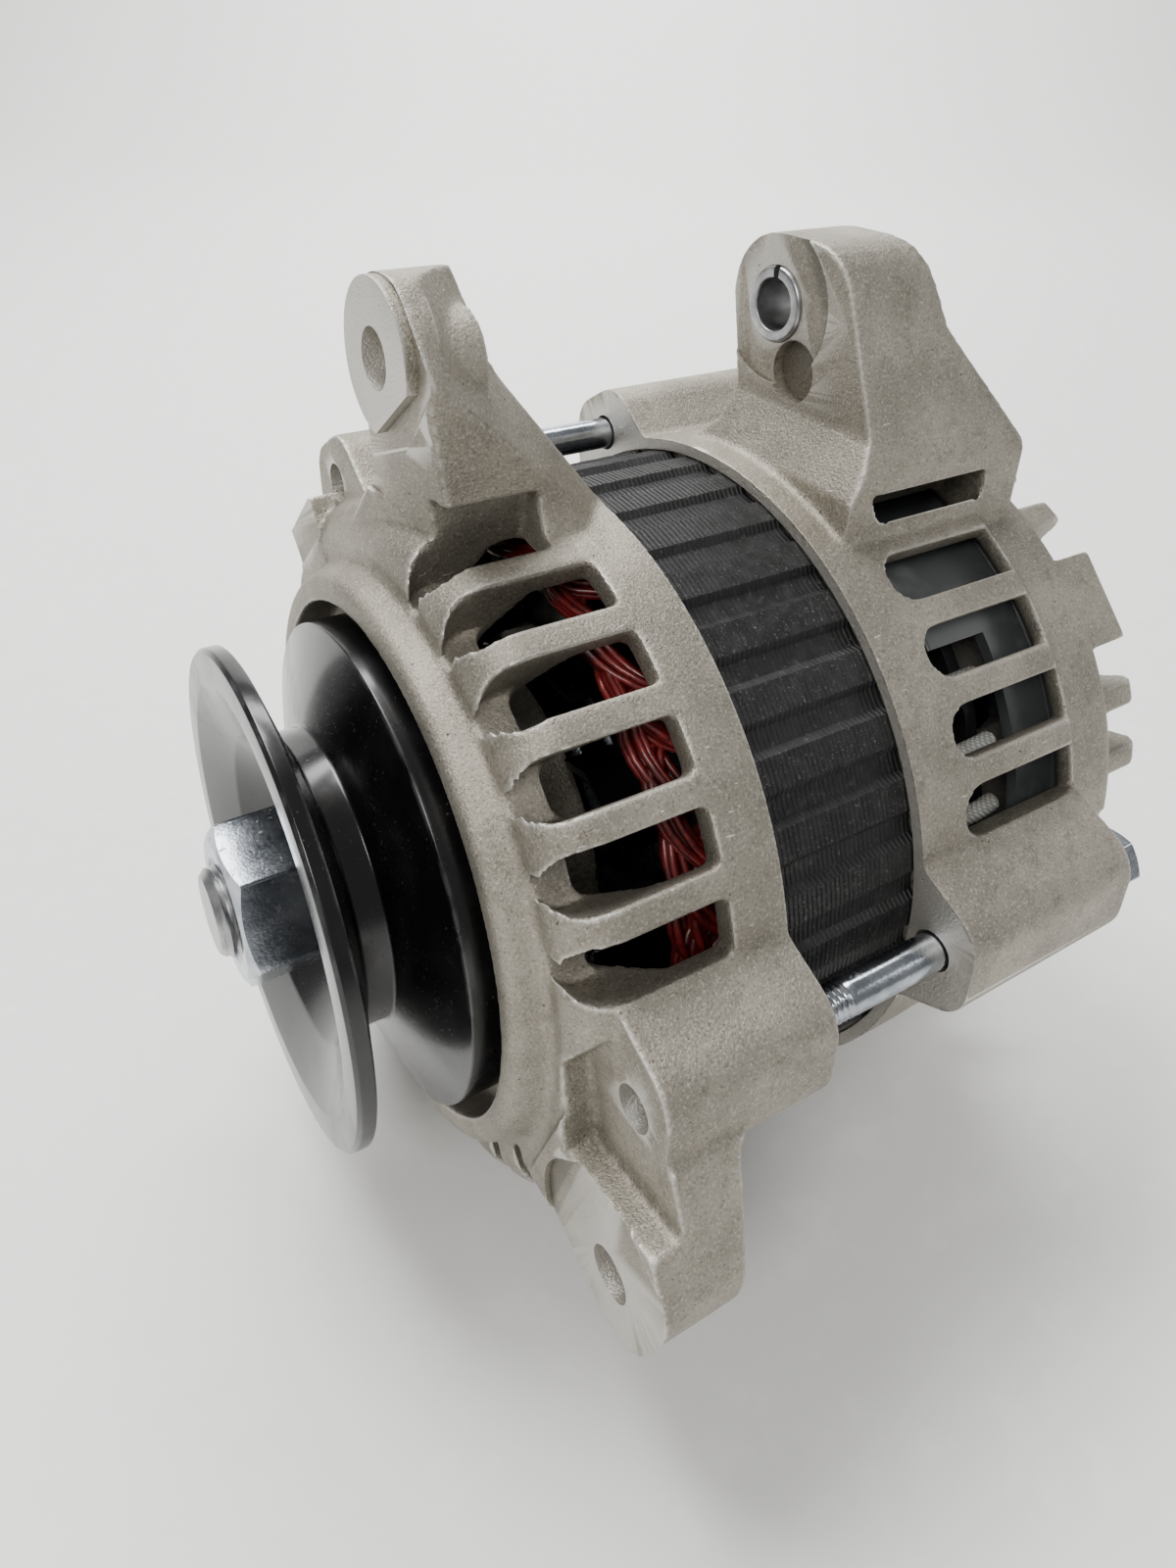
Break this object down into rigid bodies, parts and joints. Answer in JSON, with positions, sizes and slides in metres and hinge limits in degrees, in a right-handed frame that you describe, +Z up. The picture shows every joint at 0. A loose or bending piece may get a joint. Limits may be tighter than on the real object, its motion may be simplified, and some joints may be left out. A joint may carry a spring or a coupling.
{
  "type": "alternator",
  "caption": "Engine alternator: V-groove pulley, slotted cast brackets with pivot ears, claw-pole rotor on ball bearings, wound stator, sprung brushes and rectifier.",
  "frame": {"origin": "on the pivot bolt's axis, at the machined front face of the front pivot ear", "axes": "+X along the shaft from the pulley to the back, +Z up from the shaft to the pivot ears, +Y to the side away from the adjusting ear"},
  "size_m": [0.1562, 0.1375, 0.1575],
  "materials": {
    "cast_aluminium": "bead blasted",
    "black_steel": "gloss black",
    "zinc_steel": "zinc plated",
    "bare_steel": "ground",
    "lamination": "black varnish",
    "enamelled_wire": "dark red enamel",
    "copper": "turned",
    "black_plastic": "matte",
    "grey_plastic": "matte",
    "carbon": "matte",
    "sleeving": "woven"
  },
  "bodies": {
    "housing": {"front_bracket": "cast_aluminium", "rear_bracket": "cast_aluminium", "pivot_bush": "zinc_steel", "stator_core": "lamination", "stator_winding": "enamelled_wire", "through_bolt_1": "zinc_steel", "through_bolt_2": "zinc_steel", "through_bolt_3": "zinc_steel", "bolt_washer_1": "zinc_steel", "bolt_washer_2": "zinc_steel", "bolt_washer_3": "zinc_steel", "bearing_retainer": "zinc_steel", "retainer_screw_1": "zinc_steel", "retainer_screw_2": "zinc_steel", "retainer_screw_3": "zinc_steel", "front_bearing_outer_ring": "bare_steel", "rear_bearing_outer_ring": "bare_steel", "heat_sink_negative": "cast_aluminium", "heat_sink_positive": "cast_aluminium", "diode_negative_1": "zinc_steel", "diode_negative_2": "zinc_steel", "diode_negative_3": "zinc_steel", "diode_positive_1": "zinc_steel", "diode_positive_2": "zinc_steel", "diode_positive_3": "zinc_steel", "diode_terminal_plate": "black_plastic", "rear_baffle": "grey_plastic", "regulator": "black_plastic", "brush_holder": "black_plastic", "brush_spring_1": "bare_steel", "brush_spring_2": "bare_steel", "output_stud": "zinc_steel", "stud_insulator": "black_plastic", "stud_washer": "zinc_steel", "stud_nut": "zinc_steel", "plug_socket": "black_plastic", "socket_terminals": "copper", "stator_lead_1": "sleeving", "stator_lead_2": "sleeving", "stator_lead_3": "sleeving"},
    "rotor": {"pulley": "black_steel", "pulley_nut": "zinc_steel", "pulley_lock_washer": "zinc_steel", "pulley_spacer": "bare_steel", "rotor_shaft": "bare_steel", "front_claw_pole": "bare_steel", "rear_claw_pole": "bare_steel", "field_coil": "copper", "front_fan": "black_steel", "rear_fan": "black_steel", "slip_ring_sleeve": "black_plastic", "slip_ring_1": "copper", "slip_ring_2": "copper", "front_bearing_inner_ring": "bare_steel", "rear_bearing_inner_ring": "bare_steel"},
    "front_balls": {"front_bearing_ball_cage": "bare_steel"},
    "rear_balls": {"rear_bearing_ball_cage": "bare_steel"},
    "brush_body_1": {"brush_1": "carbon"},
    "brush_body_2": {"brush_2": "carbon"}
  },
  "joints": [
    {"name": "rotor_spin", "type": "hinge", "parent": "housing", "child": "rotor", "pos_m": [0, 0, -0.0832], "axis": [1, 0, 0], "continuous": true},
    {"name": "front_cage_spin", "type": "hinge", "parent": "housing", "child": "front_balls", "pos_m": [0, 0, -0.0832], "axis": [1, 0, 0], "continuous": true},
    {"name": "rear_cage_spin", "type": "hinge", "parent": "housing", "child": "rear_balls", "pos_m": [0, 0, -0.0832], "axis": [1, 0, 0], "continuous": true},
    {"name": "brush_1_slide", "type": "slide", "parent": "housing", "child": "brush_body_1", "axis": [0, 0, -1], "range_m": [0, 0.005], "stiffness_N_per_m": 200, "springref_m": -0.015, "deforming": ["brush_spring_1"]},
    {"name": "brush_2_slide", "type": "slide", "parent": "housing", "child": "brush_body_2", "axis": [0, 0, -1], "range_m": [0, 0.005], "stiffness_N_per_m": 200, "springref_m": -0.015, "deforming": ["brush_spring_2"]}
  ],
  "couplings": [
    {"joint": "front_cage_spin", "follows": "rotor_spin", "ratio": 0.368},
    {"joint": "rear_cage_spin", "follows": "rotor_spin", "ratio": 0.382}
  ]
}
